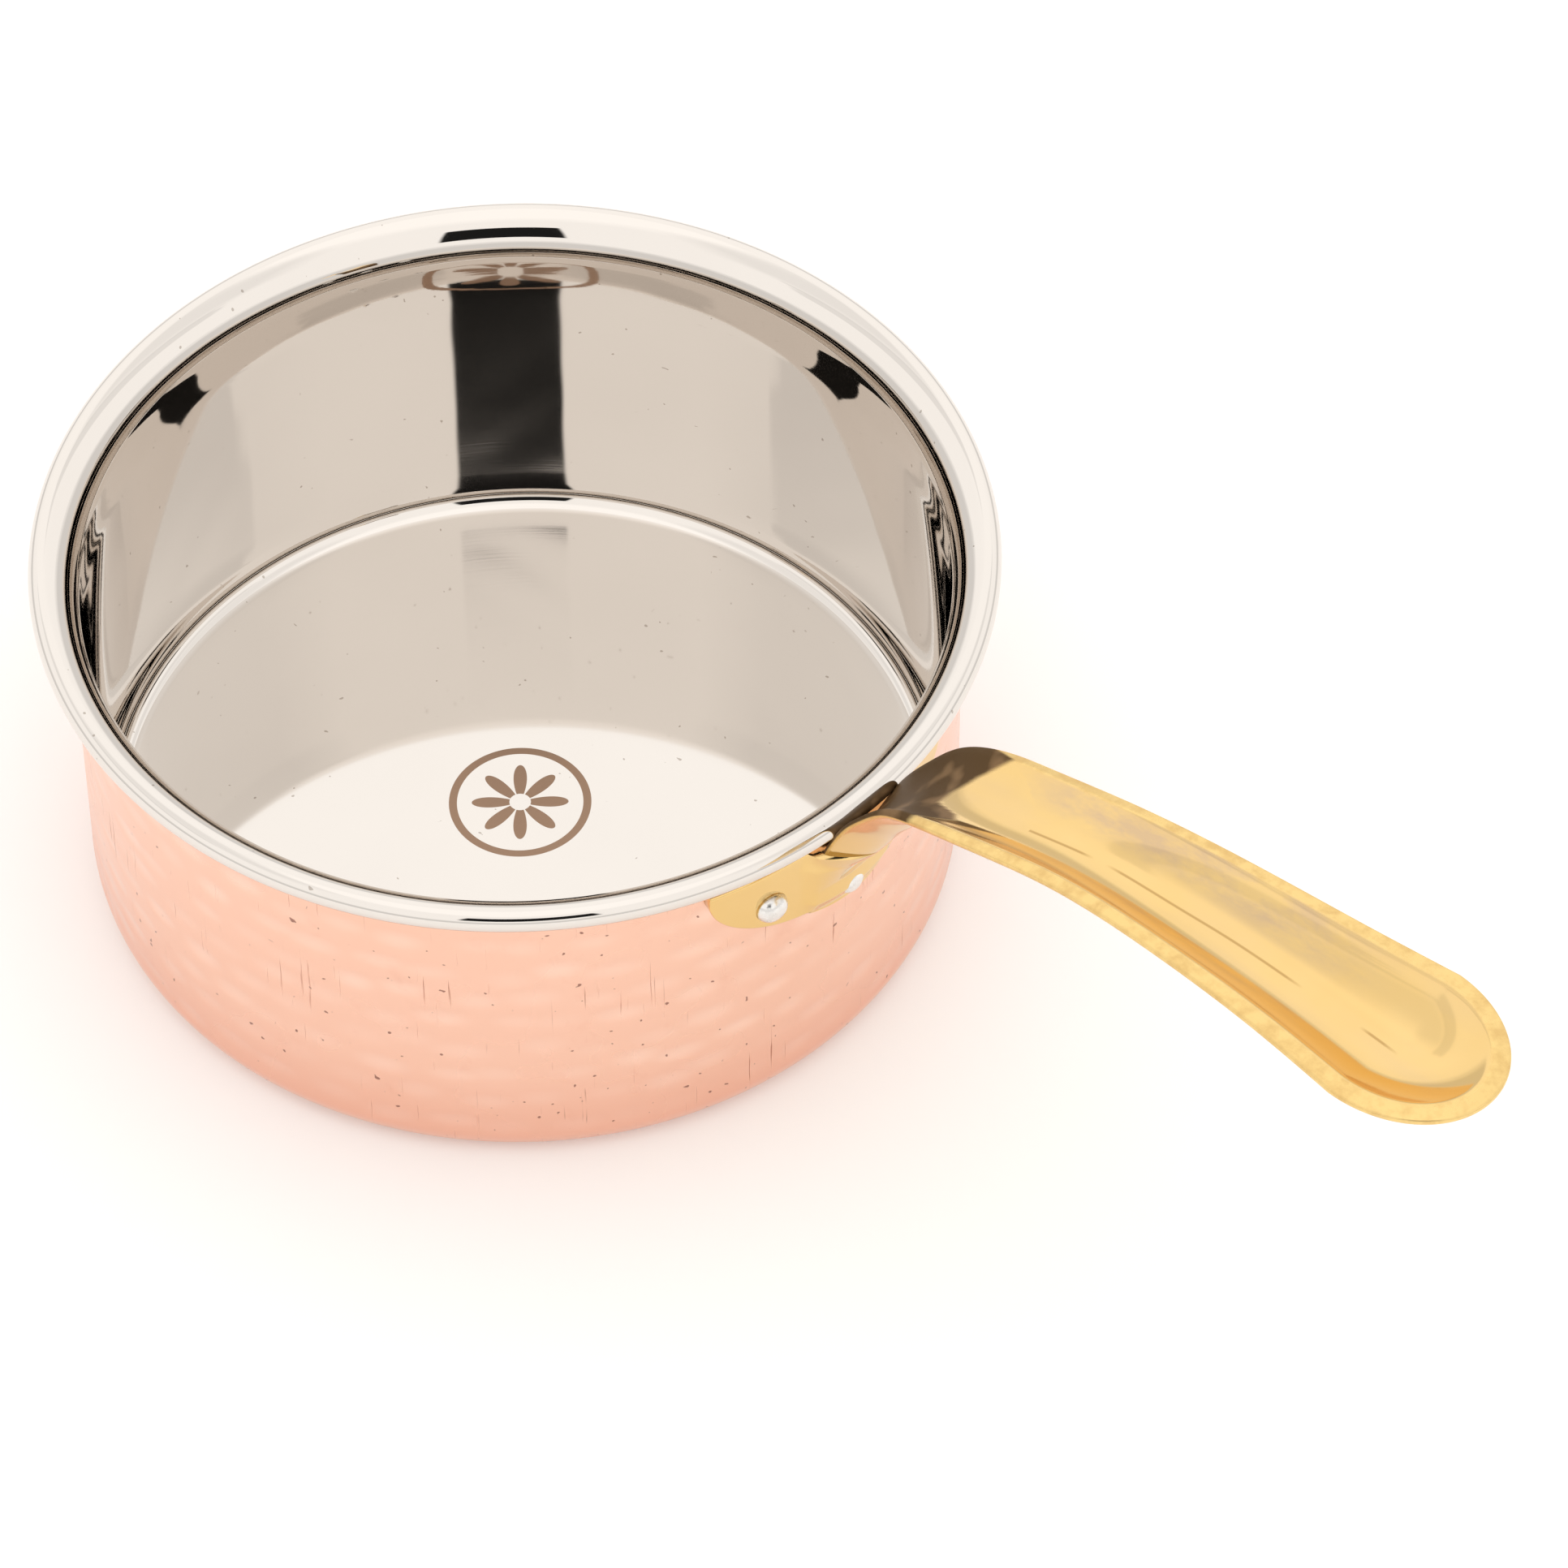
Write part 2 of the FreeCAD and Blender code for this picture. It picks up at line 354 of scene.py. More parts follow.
def bead(offset, count):
    """The rolled rim that follows the flare."""
    return arc(BEAD_R, BEAD_Z, BEAD_RADIUS - offset, 180 - FLARE_TURN, BEAD_END, count)[1:]


def liner_waves(turns, section):
    """The wall leans in a little below the flare, and spun sheet has very slight waves down the wall."""
    r, z = section[:, 0], section[:, 1]
    inside = r < BORE_RADIUS + STEEL * 0.5
    up = np.clip((z - WALL_LEAN_FROM) / (WALL_LEAN_TO - WALL_LEAN_FROM), 0, 1)
    corner = np.clip((z - FLOOR_Z) / CORNER_RADIUS, 0, 1)
    lean = WALL_LEAN * (1 - up) ** 2 * (1 + 2 * up) * corner ** 2 * (3 - 2 * corner) * inside
    on_wall = np.clip((z - FLOOR_Z) / WAVES_FADE_LOW, 0, 1) * np.clip((RIM_TOP - z) / WAVES_FADE_HIGH, 0, 1)
    on_wall = on_wall * (r > BORE_RADIUS * 0.9)
    waves = np.zeros((len(turns), len(section)))
    for count, size, twist, start in WAVES:
        waves += size * np.sin(count * turns[:, None] + twist * z[None, :] + start)
    return waves * on_wall[None, :] * MM / MICROMETRES_IN_MM - lean[None, :]


def build_liner():
    inner = skin(0, FLARE_TURN, LINER_ARC_POINTS) + bead(0, BEAD_POINTS)
    outer = skin(STEEL, FLARE_TURN, LINER_ARC_POINTS) + bead(STEEL, BEAD_POINTS)
    piece = lathe("pan_steel", inner + outer[::-1], AROUND, liner_waves)
    set_uv(piece, round_uv)
    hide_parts("steel_liner")
    return piece


def hammer_marks(turns, section):
    """Shallow hammer marks in staggered rows on the outside of the wall, each deepest in its middle."""
    random = np.random.default_rng(HAMMER_SEED)
    r, z = section[:, 0], section[:, 1]
    outside = (r > COPPER_RADIUS - COPPER * 0.4) & (z > HAMMERED_FROM) & (z < FLARE_Z + MM)
    depth = np.zeros((len(turns), len(section)))
    for row in range(HAMMER_ROWS):
        height = (HAMMER_FIRST_ROW + row * HAMMER_ROW_PITCH) * MM
        for k in range(HAMMER_PER_ROW):
            shift = random.uniform(-HAMMER_SIDE_SHIFT, HAMMER_SIDE_SHIFT)
            centre = (k + 0.5 * (row % 2) + shift) * math.tau / HAMMER_PER_ROW
            middle = height + random.uniform(-HAMMER_HEIGHT_SHIFT, HAMMER_HEIGHT_SHIFT) * MM
            wide = random.uniform(*HAMMER_WIDE) * MM
            high = random.uniform(*HAMMER_HIGH) * MM
            strength = random.uniform(*HAMMER_STRENGTH) * HAMMER_DEPTH
            across = (turns - centre + math.pi) % math.tau - math.pi
            away = (across[:, None] * COPPER_RADIUS / wide) ** 2 + ((z[None, :] - middle) / high) ** 2
            depth = np.maximum(depth, strength * np.clip(1 - away, 0, 1) ** 1.5)
    return -depth * outside[None, :]


def build_copper():
    """The copper skin. Its outer wall has many more points than the rest, to hold the hammer marks."""
    first = STEEL + GAP
    inner = skin(first, COPPER_LIP_TURN, COPPER_ARC_POINTS)
    outer = skin(first + COPPER, COPPER_LIP_TURN, COPPER_ARC_POINTS)
    heights = np.linspace(FLOOR_Z + CORNER_RADIUS, FLARE_Z, HAMMERED_POINTS)
    base = [p for p in outer if p[1] < FLOOR_Z + CORNER_RADIUS - TINY]
    lip = [p for p in outer if p[1] > FLARE_Z + TINY]
    outer = base + [(COPPER_RADIUS, z) for z in heights] + lip
    piece = lathe("pan_copper", inner + outer[::-1], COPPER_AROUND, hammer_marks)
    set_uv(piece, round_uv)
    # Each point's share of the hammer mark's depth, which the material uses to paint a highlight in the marks
    mark = piece.data.attributes.new("hammer", "FLOAT", "POINT")
    for k, vertex in enumerate(piece.data.vertices):
        depth = COPPER_RADIUS - math.hypot(vertex.co.x, vertex.co.y)
        mark.data[k].value = min(max(depth / HAMMER_DEPTH, 0), 1)
    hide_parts("copper_shell")
    return piece


# ---------------------------------------------------------------- the handle

class Arm:
    """The handle's surface: rows along the lip line, and heights above and below it."""

    def __init__(self):
        table = np.array(HANDLE_STATIONS) * MM
        chords = np.hypot(np.diff(table[:, 0]), np.diff(table[:, 1]))
        knots = np.concatenate([[0], np.cumsum(chords)])
        at = np.linspace(0, knots[-1], ARM_ROWS)
        self.x, self.z, self.half, self.depth, self.lip, self.belly = [
            cubic(knots, table[:, k], at) for k in range(6)
        ]
        self.bowl_half = self.half[-1]
        self.reach = TIP_X - self.x[-1]
        self.beyond = np.zeros(ARM_ROWS)
        self.add_tip()
        run, rise = np.gradient(self.x), np.gradient(self.z)
        run[ARM_ROWS:], rise[ARM_ROWS:] = 1.0, 0.0
        blend = np.clip((np.arange(len(run)) - (ARM_ROWS - LEVELLING_ROWS)) / LEVELLING_ROWS, 0, 1)
        length = np.hypot(run, rise)
        run, rise = run / length, rise / length * (1 - blend)
        length = np.hypot(run, rise)
        self.along = np.stack([run / length, rise / length], 1)

    def add_tip(self):
        """Rows round the end, where the outline is half an ellipse."""
        turns = np.linspace(0, math.pi / 2, TIP_ROWS + 1)[1:]
        share = np.sin(turns)
        self.beyond = np.concatenate([self.beyond, share])
        self.x = np.concatenate([self.x, self.x[-1] + self.reach * share])
        for name in ("z", "depth", "lip", "belly"):
            values = getattr(self, name)
            setattr(self, name, np.concatenate([values, np.full(TIP_ROWS, values[-1])]))
        self.half = np.concatenate([self.half, self.bowl_half * np.cos(turns)])

    def columns(self):
        """Places across the handle from -1 to 1, closer together towards the edges."""
        half = np.sin(np.linspace(0, math.pi / 2, HALF_COLUMNS + 1)) ** COLUMN_CROWDING
        return np.concatenate([-half[::-1], half[1:]])

    def heights(self):
        """Heights of the upper and lower face over the lip line, and how far each point is from the edge."""
        across = self.columns()[None, :]
        beyond = self.beyond[:, None]
        share = np.sqrt(beyond ** 2 + across ** 2 * (1 - beyond ** 2))
        side = across * self.half[:, None]
        ray = np.hypot(beyond * self.reach, side) / np.maximum(share, TINY)
        ray = np.where(share > MIDDLE_SHARE, ray, self.bowl_half)
        ray = np.where(beyond > 0, ray, self.half[:, None])
        inwards = (1 - share) * ray
        lip, depth = self.lip[:, None], self.depth[:, None]
        crest = lip * LIP_SLOPE
        out = share * ray / (ray - lip)
        trough = crest - depth * (1 - out ** TROUGH_POWER)
        upper = smooth_least(inwards * LIP_SLOPE, trough, CREST_ROUND)
        short = np.maximum(EDGE_ROUND - inwards, 0)
        rounding = EDGE_ROUND - np.sqrt(np.maximum(EDGE_ROUND ** 2 - short ** 2, 0))
        upper = upper - rounding
        lower = -EDGE - (self.belly[:, None] - EDGE) * (1 - share ** 2) + rounding
        return upper, lower, inwards

    def place(self, heights):
        """Points of a face whose heights over the lip line are given."""
        up = np.stack([-self.along[:, 1], self.along[:, 0]], 1)
        x = self.x[:, None] + up[:, 0:1] * heights
        z = self.z[:, None] + up[:, 1:2] * heights
        y = self.columns()[None, :] * self.half[:, None]
        return np.stack([x, y, z], 2)

    def outside_at(self, y, z):
        """How far out the neck's underside is from the pan's axis, at a side offset and height."""
        rows = ARM_ROWS // 3
        up = np.stack([-self.along[:rows, 1], self.along[:rows, 0]], 1)
        share = min(abs(y) / self.half[0], 1.0)
        drop = -EDGE - (self.belly[:rows] - EDGE) * (1 - share ** 2)
        x = self.x[:rows] + up[:, 0] * drop
        height = self.z[:rows] + up[:, 1] * drop
        order = np.argsort(height)
        found = np.interp(z, height[order], x[order])
        return found - max(abs(y) - self.half[0], 0) * NECK_SIDE_SLOPE


def build_arm(arm):
    upper, lower, _ = arm.heights()
    return two_sided("handle_arm", arm.place(upper), arm.place(lower))


def flange_outline(side):
    """Lower and upper height of the flange, half an ellipse, at a side offset of -1 to 1."""
    share = math.sqrt(max(1 - side ** 2, 0))
    low = FLANGE_Z - FLANGE_DROP * share
    high = FLANGE_Z + (FLANGE_TOP - FLANGE_Z) * min(share * FLANGE_SHOULDER, 1)
    return low, high


def fillet_at(low, high, z):
    """Radius between neck and flange at a height: it fades out towards the flange's lower and upper edge."""
    fade_high = min(max((high - z) / FILLET_FADE_HIGH, LEAST_FILLET), 1)
    fade_low = min(max((z - low) / FILLET_FADE_LOW, LEAST_FILLET), 1)
    return NECK_FILLET * fade_high * fade_low


def build_flange(arm):
    columns = np.sin(np.linspace(-math.pi / 2, math.pi / 2, FLANGE_COLUMNS))
    levels = (1 - np.cos(np.linspace(0, math.pi, FLANGE_LEVELS))) / 2
    front = np.zeros((len(columns), len(levels), 3))
    back = np.zeros_like(front)
    for i, side in enumerate(columns):
        low, high = flange_outline(side)
        turn = side * FLANGE_HALF / FLANGE_BACK
        for j, level in enumerate(levels):
            z = low + (high - low) * level
            edge = min(z - low, high - z, (1 - abs(side)) * FLANGE_HALF * 2)
            short = max(FLANGE_ROUND - edge, 0)
            rounding = math.sqrt(max(FLANGE_ROUND ** 2 - short ** 2, 0))
            plate = FLANGE_BACK + FLANGE_THICK - FLANGE_ROUND + rounding
            neck = arm.outside_at(side * FLANGE_HALF, z) - NECK_OVERLAP
            out = float(smooth_most(np.array(plate), np.array(neck), fillet_at(low, high, z)))
            front[i, j] = out * math.cos(turn), out * math.sin(turn), z
            back[i, j] = FLANGE_BACK * math.cos(turn), FLANGE_BACK * math.sin(turn), z
    return two_sided("handle_flange", front, back)


def painted_reflection_end(y):
    """How far out the painted dark reflection on the trough's root reaches, at a side offset."""
    return float(np.interp(y, np.array(PAINTED_REFLECTION_SIDES) * MM, np.array(PAINTED_REFLECTION_ENDS) * MM))


def mark_arm(piece, arm):
    """Two values on each point: lip is 1 on the filed lips, root is 1 where a dark reflection is painted on
    the trough's root.
    """
    lip = piece.data.attributes.new("lip", "FLOAT", "POINT")
    root = piece.data.attributes.new("root", "FLOAT", "POINT")
    upper, _, inwards = arm.heights()
    top = arm.place(upper).reshape(-1, 3)
    share = np.clip((arm.lip[:, None] + LIP_MARGIN - inwards) / LIP_SOFT, 0, 1).reshape(-1)
    tree = KDTree(len(top))
    for k, point in enumerate(top):
        tree.insert(point, k)
    tree.balance()
    for k, vertex in enumerate(piece.data.vertices):
        _, found, distance = tree.find(vertex.co)
        on_top = float(distance < ON_TOP)
        lip.data[k].value = share[found] if distance < LIP_REACH else 0.0
        inside = (painted_reflection_end(vertex.co.y) - vertex.co.x) / PAINTED_REFLECTION_SOFT + 0.5
        root.data[k].value = min(max(inside, 0), 1) * on_top


def arm_uv(place, middle):
    return place.x, place.y if middle.z > CREASE_ABOVE else NO_CREASE


def build_handle():
    arm = Arm()
    piece = build_arm(arm)
    mark_arm(piece, arm)
    set_uv(piece, arm_uv)
    flange = build_flange(arm)
    set_uv(flange, lambda place, middle: (place.x, NO_CREASE))
    # The flange carries the lip and painted-reflection values too, all zero there
    flange.data.attributes.new("root", "FLOAT", "POINT")
    flange.data.attributes.new("lip", "FLOAT", "POINT")
    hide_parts("handle")
    return piece, flange


# ---------------------------------------------------------------- the rivets

def head(radius, height, base, outward, count):
    """Section of a round head along the rivet's own axis, from its rim to its crown, as (radius, place)."""
    sphere = (radius ** 2 + height ** 2) / (2 * height)
    full = math.asin(radius / sphere)
    turns = np.linspace(full, 0, count)
    centre = base + outward * (height - sphere)
    return [(sphere * math.sin(t), centre + outward * sphere * math.cos(t)) for t in turns]


def build_rivet(node, angle, height, seed):
    outer_base = FLANGE_BACK + FLANGE_THICK + GAP
    inner_base = math.sqrt(BORE_RADIUS ** 2 - INNER_HEAD[0] ** 2) - GAP
    section = head(*INNER_HEAD, inner_base, -1, INNER_HEAD_POINTS)[::-1]
    section += [(SHANK, inner_base), (SHANK, outer_base)]
    section += head(*OUTER_HEAD, outer_base, 1, OUTER_HEAD_POINTS)
    piece = lathe(node + "_head", section, RIVET_AROUND)
    random = np.random.default_rng(seed)
    turn = math.radians(angle)
    dents = [Vector(random.normal(0, 1, 3)).normalized() for _ in range(DENTS)]
    for vertex in piece.data.vertices:
        if vertex.co.z > outer_base:
            flat = min((vertex.co.z - outer_base) / OUTER_HEAD[1], 1)
            facing = Vector((vertex.co.x, vertex.co.y, OUTER_HEAD[0] * DENT_RISE)).normalized()
            pressed = sum(max(facing.dot(dent) - DENT_WITHIN, 0) for dent in dents)
            vertex.co.z -= (CROWN_DROP * flat ** 3 + DENT_DEPTH * pressed * flat) * MM
        out, across, up = vertex.co.z, vertex.co.x, vertex.co.y
        vertex.co = (
            out * math.cos(turn) - across * math.sin(turn),
            out * math.sin(turn) + across * math.cos(turn),
            up + height,
        )
    clean(piece)
    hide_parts(node)
    return piece


# ---------------------------------------------------------------- materials

def rgb(r, g, b):
    return (r, g, b, 1.0)


STEEL_WARM = rgb(0.745, 0.70, 0.655)
STEEL_PALE = rgb(0.775, 0.73, 0.685)
STEEL_SPECK = rgb(0.30, 0.25, 0.20)
ETCHED = rgb(0.34, 0.22, 0.15)
COPPER_DEEP = rgb(0.90, 0.55, 0.41)
COPPER_PALE = rgb(0.92, 0.60, 0.47)
COPPER_DIMPLE_HIGHLIGHT = rgb(0.97, 0.70, 0.58)
COPPER_BASE_SHADE = rgb(0.80, 0.42, 0.31)
COPPER_SMUDGE = rgb(0.80, 0.42, 0.30)
COPPER_HAIRLINE = rgb(0.36, 0.13, 0.08)
COPPER_SPECK = rgb(0.22, 0.09, 0.07)
BRASS_DEEP = rgb(0.80, 0.54, 0.205)
BRASS_PALE = rgb(0.84, 0.605, 0.28)
BRASS_STAIN = rgb(0.60, 0.45, 0.34)
BRASS_FILED = rgb(0.86, 0.62, 0.25)
BRASS_FILED_DARK = rgb(0.72, 0.48, 0.18)
# Painted dark reflection on the trough's root, and its streaks
BRASS_PAINTED_REFLECTION = rgb(0.10, 0.055, 0.02)
BRASS_PAINTED_REFLECTION_STREAK = rgb(0.22, 0.13, 0.06)
BRASS_CREASE = rgb(0.45, 0.27, 0.09)
BRASS_TARNISH = rgb(0.56, 0.41, 0.30)
RIVET_BRIGHT = rgb(0.93, 0.92, 0.90)
RIVET_DULL = rgb(0.66, 0.63, 0.60)
FLOOR_WHITE = rgb(0.93, 0.925, 0.92)
FLOOR_GLOW_COLOR = rgb(1.0, 0.98, 0.96)
TENT_WHITE = rgb(1.0, 0.985, 0.965)


class Tree:
    """A short way to write a node tree."""

    def __init__(self, tree):
        self.tree = tree

    def add(self, kind, inputs=(), **settings):
        node = self.tree.nodes.new(kind)
        for key, value in settings.items():
            setattr(node, key, value)
        for key, value in dict(inputs).items():
            self.feed(node, key, value)
        return node

    def feed(self, node, key, value):
        if isinstance(value, bpy.types.NodeSocket):
            self.tree.links.new(value, node.inputs[key])
        elif isinstance(value, bpy.types.Node):
            self.tree.links.new(value.outputs[0], node.inputs[key])
        else:
            node.inputs[key].default_value = value

    def math(self, kind, a, b):
        return self.add("ShaderNodeMath", {0: a, 1: b}, operation=kind).outputs[0]


class Nodes(Tree):
    """A material's node tree."""

    def __init__(self, name):
        self.material = bpy.data.materials.new(name)
        self.material.use_nodes = True
        super().__init__(self.material.node_tree)
        self.shader = self.tree.nodes["Principled BSDF"]

    def height(self):
        place = self.add("ShaderNodeTexCoord").outputs["Object"]
        return self.add("ShaderNodeSeparateXYZ", {0: place}).outputs["Z"]

    def mark(self, name):
        """A value that the mesh holds on each point."""
        return self.add("ShaderNodeAttribute", attribute_name=name).outputs["Fac"]

    def skin_vector(self, scale):
        uv = self.add("ShaderNodeUVMap", uv_map="skin")
        return self.add("ShaderNodeMapping", {"Vector": uv.outputs["UV"], "Scale": scale})

    def object_vector(self, scale=(1, 1, 1)):
        place = self.add("ShaderNodeTexCoord")
        return self.add("ShaderNodeMapping", {"Vector": place.outputs["Object"], "Scale": scale})

    def noise(self, vector, scale, detail=2.0, rough=0.5):
        return self.add(
            "ShaderNodeTexNoise", {"Vector": vector, "Scale": scale, "Detail": detail, "Roughness": rough}
        ).outputs["Fac"]

    def span(self, value, low, high, to_low=0.0, to_high=1.0):
        return self.add("ShaderNodeMapRange", {
            "Value": value, "From Min": low, "From Max": high, "To Min": to_low, "To Max": to_high,
        }).outputs[0]

    def mix(self, share, a, b):
        node = self.add("ShaderNodeMix", data_type="RGBA")
        self.feed(node, 0, share)
        self.feed(node, 6, a)
        self.feed(node, 7, b)
        return node.outputs[2]

    def bump(self, height, distance, strength=1.0, normal=None):
        inputs = {"Height": height, "Distance": distance, "Strength": strength}
        if normal is not None:
            inputs["Normal"] = normal
        return self.add("ShaderNodeBump", inputs).outputs[0]

    def finish(self, color, roughness, normal=None, metallic=1.0):
        self.feed(self.shader, "Metallic", metallic)
        self.feed(self.shader, "Base Color", color)
        self.feed(self.shader, "Roughness", roughness)
        if normal is not None:
            self.feed(self.shader, "Normal", normal)
        return self.material


def steel_material():
    n = Nodes("polished_steel")
    broad = n.noise(n.object_vector(), 38.0, 3)
    brushed = n.noise(n.skin_vector((30, 2600, 1)), 1.0, 2)
    specks = n.span(n.noise(n.object_vector(), 900.0, 0), 0.86, 0.88)
    color = n.mix(broad, STEEL_WARM, STEEL_PALE)
    color = n.mix(n.math("MULTIPLY", specks, 0.6), color, STEEL_SPECK)
    mark = emblem(n)
    color = n.mix(mark, color, ETCHED)
    on_floor = n.span(n.height(), FLOOR_Z + MM, FLOOR_Z)
    roughness = n.math("ADD", n.span(broad, 0.3, 0.7, 0.02, 0.04), n.math("MULTIPLY", on_floor, 0.015))
    roughness = n.math("ADD", roughness, n.math("MULTIPLY", mark, 0.3))
    return n.finish(color, roughness, n.bump(brushed, 0.0000008))


def emblem(n):
    """A ring with eight petals etched on the floor, as a mask."""
    place = n.add("ShaderNodeTexCoord").outputs["Object"]
    moved = n.add("ShaderNodeVectorMath", {0: place, 1: (-EMBLEM_X, -EMBLEM_Y, 0)}, operation="ADD")
    parts = n.add("ShaderNodeSeparateXYZ", {0: moved})
    x, y, z = parts.outputs
    radius = n.math("SQRT", n.math("ADD", n.math("MULTIPLY", x, x), n.math("MULTIPLY", y, y)), 0.0)
    turn = n.math("ARCTAN2", y, x)
    wave = n.math("ABSOLUTE", n.math("COSINE", n.math("MULTIPLY", turn, 4.0), 0.0), 0.0)
    petal = n.math("MULTIPLY", wave, EMBLEM_RADIUS * 0.72)
    inside = n.math("LESS_THAN", radius, petal)
    hub = n.math("GREATER_THAN", radius, EMBLEM_RADIUS * 0.16)
    ring = n.math("COMPARE", radius, EMBLEM_RADIUS)
    ring.node.inputs[2].default_value = EMBLEM_RADIUS * 0.06
    on_floor = n.math("LESS_THAN", z, FLOOR_Z + 0.2 * MM)
    above = n.math("GREATER_THAN", z, FLOOR_Z - 0.2 * MM)
    either = n.math("MAXIMUM", ring, n.math("MULTIPLY", inside, hub))
    return n.math("MULTIPLY", either, n.math("MULTIPLY", on_floor, above))


def copper_material():
    n = Nodes("hammered_copper")
    broad = n.noise(n.object_vector(), 26.0, 3)
    brushed = n.noise(n.skin_vector((45, 3400, 1)), 1.0, 3)
    drawn = n.noise(n.skin_vector((1500, 38, 1)), 1.0, 2)
    where = n.noise(n.skin_vector((60, 70, 1)), 1.0, 2)
    hairline = n.math("MULTIPLY", n.span(drawn, 0.665, 0.70), n.span(where, 0.46, 0.62))
    specks = n.span(n.noise(n.object_vector(), 640.0, 1), 0.745, 0.775)
    smudge = n.span(n.noise(n.object_vector(), 120.0, 4, 0.7), 0.60, 0.80)
    color = n.mix(broad, COPPER_DEEP, COPPER_PALE)
    # Painted highlight: the middles of the hammer marks are paler
    color = n.mix(n.math("MULTIPLY", n.mark("hammer"), 0.6), color, COPPER_DIMPLE_HIGHLIGHT)
    # Painted shade: the copper darkens towards its base
    color = n.mix(n.span(n.height(), 22 * MM, 3 * MM, 0, 0.55), color, COPPER_BASE_SHADE)
    color = n.mix(n.math("MULTIPLY", smudge, 0.35), color, COPPER_SMUDGE)
    color = n.mix(n.math("MULTIPLY", hairline, 0.7), color, COPPER_HAIRLINE)
    color = n.mix(n.math("MULTIPLY", specks, 0.8), color, COPPER_SPECK)
    roughness = n.span(broad, 0.3, 0.7, 0.20, 0.30)
    roughness = n.math("ADD", roughness, n.math("MULTIPLY", hairline, 0.2))
    normal = n.bump(brushed, 0.000006)
    normal = n.bump(drawn, 0.000004, 1.0, normal)
    return n.finish(color, roughness, normal)


def trough_crease(n, along, across):
    """A thin dark line down the middle of the trough, wandering a little and broken here and there."""
    wander = n.math("SUBTRACT", n.noise(n.skin_vector((25, 0, 0)), 1.0, 1), 0.5)
    wander = n.math("MULTIPLY", wander, 2.0 * MM)
    off = n.math("ABSOLUTE", n.math("ADD", across, wander), 0.0)
    broken = n.span(n.noise(n.skin_vector((60, 0, 0)), 1.0, 1), 0.42, 0.5)
    line = n.math("MULTIPLY", n.span(off, 0.35 * MM, 0.1 * MM), broken)
    return n.math("MULTIPLY", line, n.span(along, 189 * MM, 186 * MM))


def trough_tarnish(n, along, across, lip):
    """Purple-grey patches on the far side of the trough, on the middle of its length."""
    far = n.math("MULTIPLY", n.span(across, 3 * MM, 6 * MM), n.span(across, 30 * MM, 20 * MM))
    start, end = n.span(along, 104 * MM, 120 * MM), n.span(along, 182 * MM, 160 * MM)
    middle = n.math("MULTIPLY", start, end)
    where = n.math("MULTIPLY", n.math("MULTIPLY", far, middle), n.math("SUBTRACT", 1.0, lip))
    patches = n.span(n.noise(n.object_vector((60, 200, 60)), 1.0, 4, 0.7), 0.38, 0.6)
    return n.math("MULTIPLY", where, n.math("MULTIPLY", patches, 0.6))


def brass_material():
    n = Nodes("cast_brass")
    lip, root = n.mark("lip"), n.mark("root")
    place = n.add("ShaderNodeSeparateXYZ", {0: n.add("ShaderNodeUVMap", uv_map="skin").outputs["UV"]})
    along, across = place.outputs["X"], place.outputs["Y"]
    broad = n.noise(n.object_vector(), 60.0, 3)
    filed = n.noise(n.object_vector((1200, 260, 900)), 1.0, 3)
    mottle = n.span(n.noise(n.object_vector(), 330.0, 4, 0.65), 0.42, 0.66)
    stain = n.span(n.noise(n.object_vector((14, 60, 30)), 1.0, 4), 0.55, 0.72)
    streak = n.noise(n.object_vector((160, 160, 60)), 1.0, 2)
    color = n.mix(broad, BRASS_DEEP, BRASS_PALE)
    color = n.mix(n.math("MULTIPLY", stain, 0.28), color, BRASS_STAIN)
    color = n.mix(n.math("MULTIPLY", lip, 0.75), color, n.mix(mottle, BRASS_FILED, BRASS_FILED_DARK))
    # Painted dark reflection on the trough's root, with streaks; there the brass is also rougher and less
    # metallic
    color = n.mix(root, color, n.mix(n.span(streak, 0.5, 0.62), BRASS_PAINTED_REFLECTION, BRASS_PAINTED_REFLECTION_STREAK))
    color = n.mix(n.math("MULTIPLY", trough_crease(n, along, across), 0.75), color, BRASS_CREASE)
    color = n.mix(trough_tarnish(n, along, across, lip), color, BRASS_TARNISH)
    polished = n.span(broad, 0.3, 0.7, 0.06, 0.11)
    satin = n.span(mottle, 0.0, 1.0, 0.30, 0.42)
    roughness = n.math("ADD", polished, n.math("MULTIPLY", lip, n.math("SUBTRACT", satin, 0.1)))
    roughness = n.math("ADD", roughness, n.math("MULTIPLY", root, 0.35))
    height = n.math("MULTIPLY", filed, n.math("ADD", lip, 0.06))
    metallic = n.math("SUBTRACT", 1.0, n.math("MULTIPLY", root, 0.8))
    n.shader.inputs["Specular IOR Level"].default_value = 0.15
    return n.finish(color, roughness, n.bump(height, 0.00002), metallic)


def rivet_material():
    n = Nodes("rivet_steel")
    broad = n.noise(n.object_vector(), 700.0, 3)
    color = n.mix(broad, RIVET_BRIGHT, RIVET_DULL)
    return n.finish(color, n.span(broad, 0.3, 0.7, 0.16, 0.34), n.bump(broad, 0.00008))


# ---------------------------------------------------------------- stage

def floor():
    corners = [(-1, -1), (1, -1), (1, 1), (-1, 1)]
    piece = new_piece("floor", [(x * FLOOR_REACH, y * FLOOR_REACH, 0) for x, y in corners], [(0, 1, 2, 3)])
    n = Nodes("pale_floor")
    n.shader.inputs["Base Color"].default_value = FLOOR_WHITE
    n.shader.inputs["Emission Color"].default_value = FLOOR_GLOW_COLOR
    n.shader.inputs["Emission Strength"].default_value = FLOOR_GLOW
    n.shader.inputs["Roughness"].default_value = 0.8
    n.shader.inputs["Specular IOR Level"].default_value = 0.1
    piece.data.materials.append(n.material)


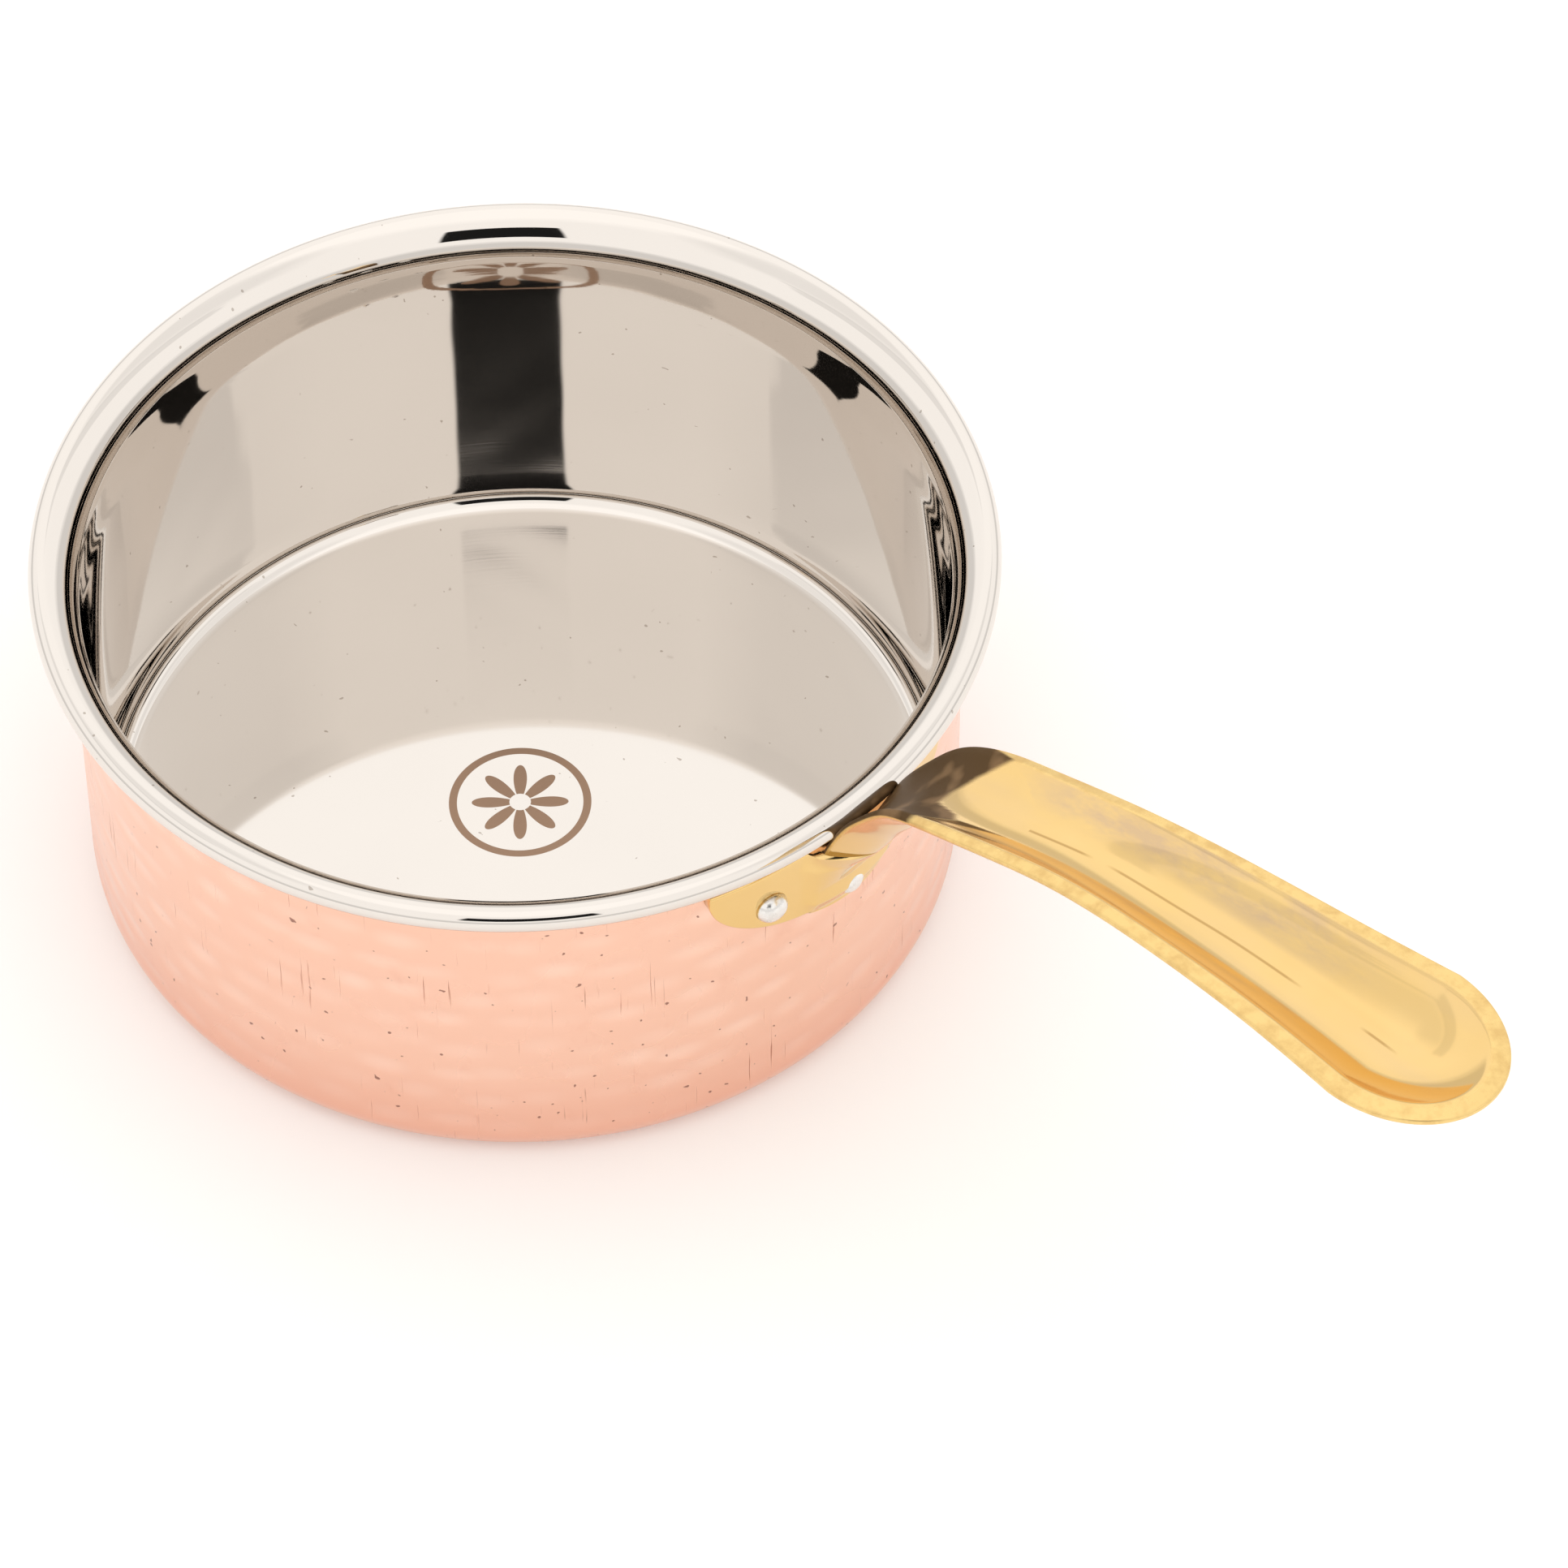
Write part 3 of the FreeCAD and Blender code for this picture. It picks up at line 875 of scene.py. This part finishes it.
class Sky(Tree):
    """The light all round, as a function of direction."""

    def __init__(self):
        world = bpy.data.worlds.new("tent")
        bpy.context.scene.world = world
        world.use_nodes = True
        super().__init__(world.node_tree)
        self.background = self.tree.nodes["Background"]
        way = self.add("ShaderNodeTexCoord").outputs["Generated"]
        stretched = self.add("ShaderNodeMapping", {"Vector": way, "Scale": (3, 3, 70)})
        noise = self.add("ShaderNodeTexNoise", {
            "Vector": stretched, "Scale": 1.0, "Detail": 5.0, "Roughness": 0.6,
        })
        self.rough = self.math("SUBTRACT", noise.outputs["Fac"], 0.5)
        facing, side = direction(OPENING_AZIMUTH, 0), direction(OPENING_AZIMUTH + 90, 0)
        toward, across = self.dot(way, facing), self.dot(way, side)
        turn = self.math("MULTIPLY", self.math("ARCTAN2", across, toward), 180 / math.pi)
        self.away = self.math("ABSOLUTE", turn, 0.0)
        height = self.add("ShaderNodeSeparateXYZ", {0: way}).outputs["Z"]
        self.rise = self.math("MULTIPLY", self.math("ARCSINE", height, 0.0), 180 / math.pi)

    def dot(self, a, b):
        return self.add("ShaderNodeVectorMath", {0: a, 1: b}, operation="DOT_PRODUCT").outputs["Value"]

    def ramp(self, value, start, end):
        return self.add("ShaderNodeMapRange", {"Value": value, "From Min": start, "From Max": end}).outputs[0]

    def between(self, value, low, high, soft, ragged=0.0):
        """1 where value lies between low and high, fading over soft degrees, with a ragged edge if asked."""
        value = self.math("ADD", value, self.math("MULTIPLY", self.rough, ragged))
        rising = self.ramp(value, low - soft, low + soft)
        falling = self.ramp(value, high + soft, high - soft)
        return self.math("MULTIPLY", rising, falling)

    def times(self, strength, where, factor):
        """Strength multiplied by factor where the mask is 1."""
        share = self.math("SUBTRACT", 1.0, self.math("MULTIPLY", where, 1 - factor))
        return self.math("MULTIPLY", strength, share)


def tent():
    """A white light tent, brighter overhead, duller at the sides, and dark low down and at its opening."""
    sky = Sky()
    strength = TENT_LIGHT
    for _, away, rise, factor in TENT_PARTS:
        where = sky.between(sky.rise, *rise)
        if away is not None:
            where = sky.math("MULTIPLY", sky.between(sky.away, *away), where)
        strength = sky.times(strength, where, factor)
    sky.feed(sky.background, "Strength", strength)
    sky.background.inputs["Color"].default_value = TENT_WHITE


def direction(azimuth, elevation):
    """Unit vector from the object towards a viewer at that azimuth and elevation, in degrees."""
    a, e = math.radians(azimuth), math.radians(elevation)
    return Vector((math.sin(a) * math.cos(e), -math.cos(a) * math.cos(e), math.sin(e)))


def camera():
    data = bpy.data.cameras.new("camera")
    data.sensor_width = 36.0
    data.lens = CAMERA_LENS
    data.clip_start, data.clip_end = 0.01, 50.0
    piece = bpy.data.objects.new("camera", data)
    bpy.context.scene.collection.objects.link(piece)
    piece.location = CAMERA_AT
    piece.rotation_mode = "QUATERNION"
    away = -direction(CAMERA_AZIMUTH, CAMERA_ELEVATION)
    piece.rotation_quaternion = away.to_track_quat("-Z", "Y")
    bpy.context.scene.camera = piece


# ---------------------------------------------------------------- the whole

def dress(piece, material):
    piece.data.materials.clear()
    piece.data.materials.append(material)
    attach(piece, BODY)


def main():
    camera()
    tent()
    floor()
    dress(build_liner(), steel_material())
    dress(build_copper(), copper_material())
    brass = brass_material()
    for piece in build_handle():
        dress(piece, brass)
    steel = rivet_material()
    for seed, (node, angle, height) in enumerate(RIVETS):
        dress(build_rivet(node, angle, height, seed), steel)
    bpy.context.scene.view_settings.view_transform = "Standard"


main()
